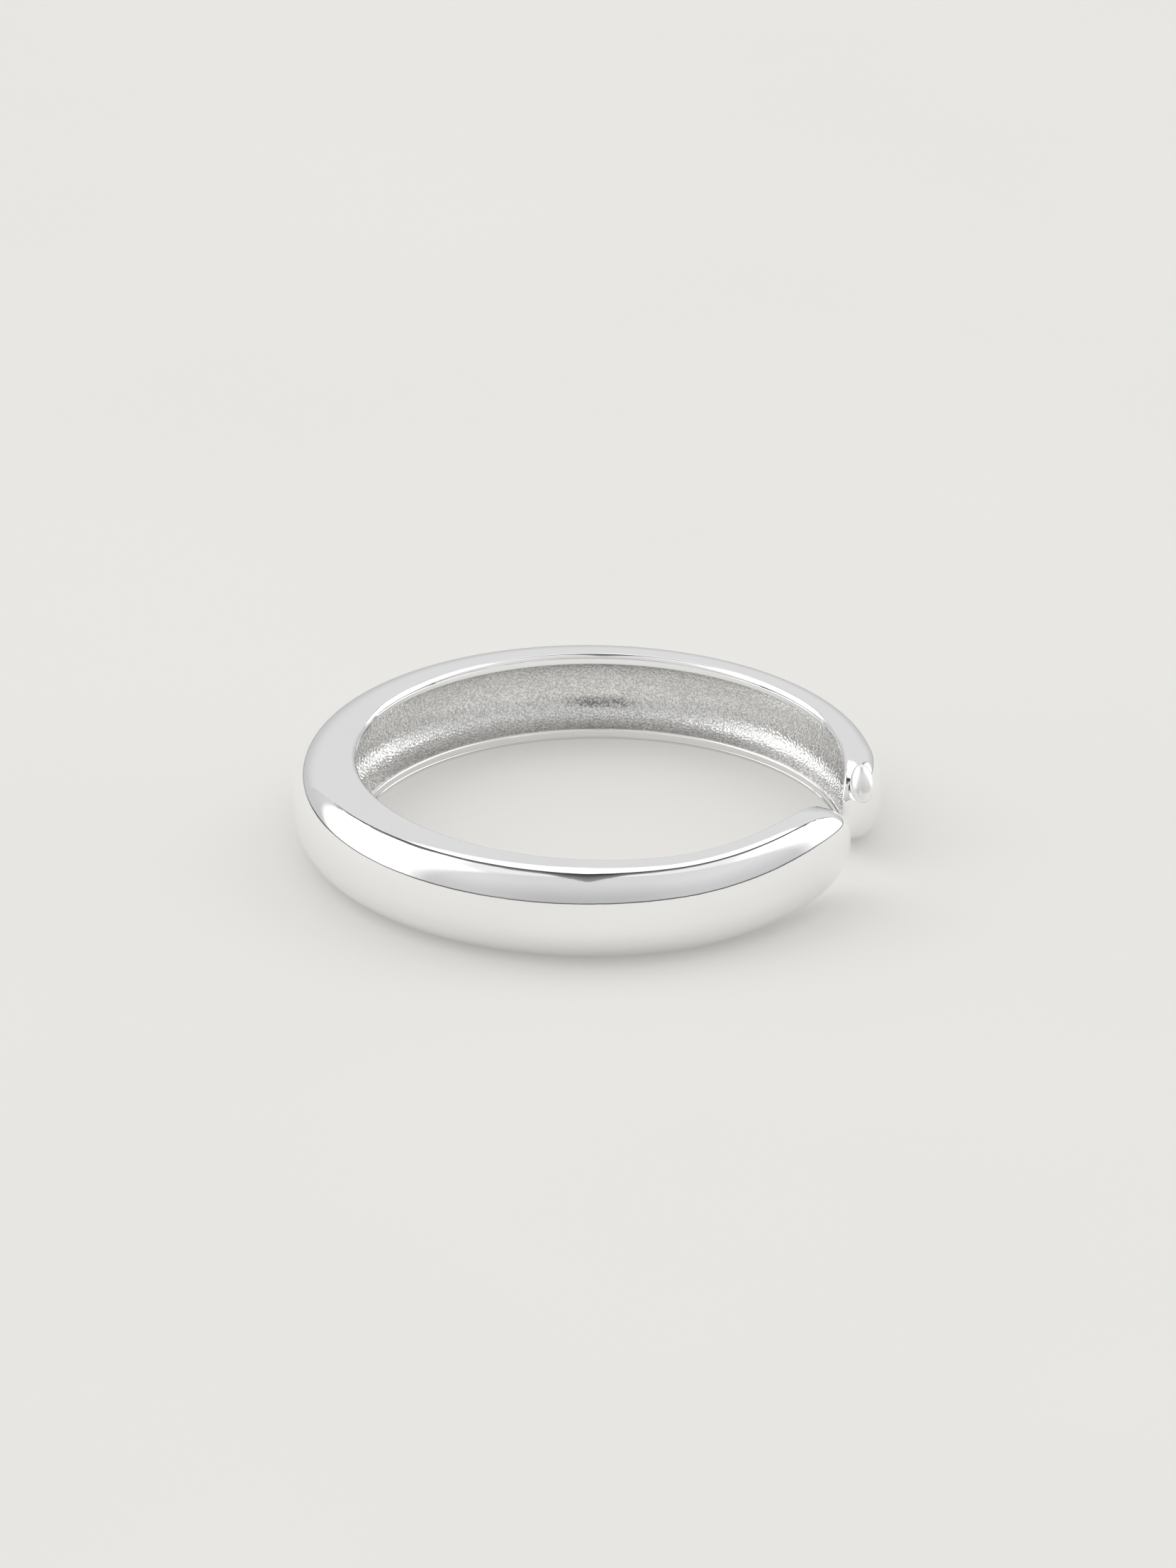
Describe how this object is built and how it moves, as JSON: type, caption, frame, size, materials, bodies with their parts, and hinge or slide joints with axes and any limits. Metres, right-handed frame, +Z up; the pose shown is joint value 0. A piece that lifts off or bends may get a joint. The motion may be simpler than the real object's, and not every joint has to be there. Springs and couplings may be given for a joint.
{
  "type": "open bangle bracelet",
  "caption": "Hollow-backed, C-shaped polished metal bangle that springs open a little, with an oval bead on a short peg at one rounded end.",
  "frame": {"origin": "centre of the underside of the whole bangle's box", "axes": "+Z up as it lies flat, +X out through the opening, +Y towards the arm that carries the bead"},
  "size_m": [0.0684, 0.0694, 0.0117],
  "materials": {
    "polished_silver": "mirror-polished silver, with a fine pebbled texture in the hollow of the inner wall",
    "bright_silver": "mirror-polished silver"
  },
  "bodies": {
    "back_arm": {"band_back_arm": "polished_silver", "end_bead": "bright_silver", "bead_peg": "bright_silver"},
    "front_arm": {"band_front_arm": "polished_silver"}
  },
  "joints": [
    {"name": "band_flex", "type": "hinge", "parent": "back_arm", "child": "front_arm", "pos_m": [-0.03269, 0, 0.00572], "axis": [0, 0, -1], "range_deg": [-1.5, 5], "stiffness_Nm_per_rad": 10}
  ]
}
